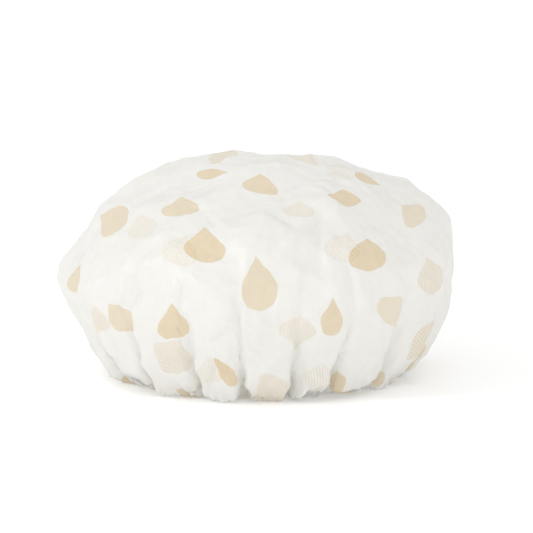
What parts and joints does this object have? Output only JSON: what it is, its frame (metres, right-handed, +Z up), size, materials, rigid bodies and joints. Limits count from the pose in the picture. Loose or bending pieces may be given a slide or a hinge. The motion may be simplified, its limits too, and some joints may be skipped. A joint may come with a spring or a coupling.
{
  "type": "shower cap",
  "caption": "Puffed shower cap: one disc of thin translucent film with scattered tan drops, gathered by an elastic band in its turned, stitched hem.",
  "frame": {"origin": "On the surface that the cap stands on, below the middle of its bounding box.", "axes": "+Z up to the top of the crown, +X along the cap's width (its longest side), -Y towards the front that the picture shows. The opening faces down."},
  "size_m": [0.2408, 0.2282, 0.1362],
  "materials": {
    "film": "thin translucent white film with a soft sheen, printed with scattered tan drops",
    "elastic": "white ribbed elastic tape",
    "thread": "white sewing thread"
  },
  "bodies": {
    "root": {"crown_film": "film", "hem_casing": "film", "elastic_band": "elastic", "elastic_join_thread": "thread", "hem_needle_thread": "thread", "hem_bobbin_thread": "thread"}
  },
  "joints": []
}
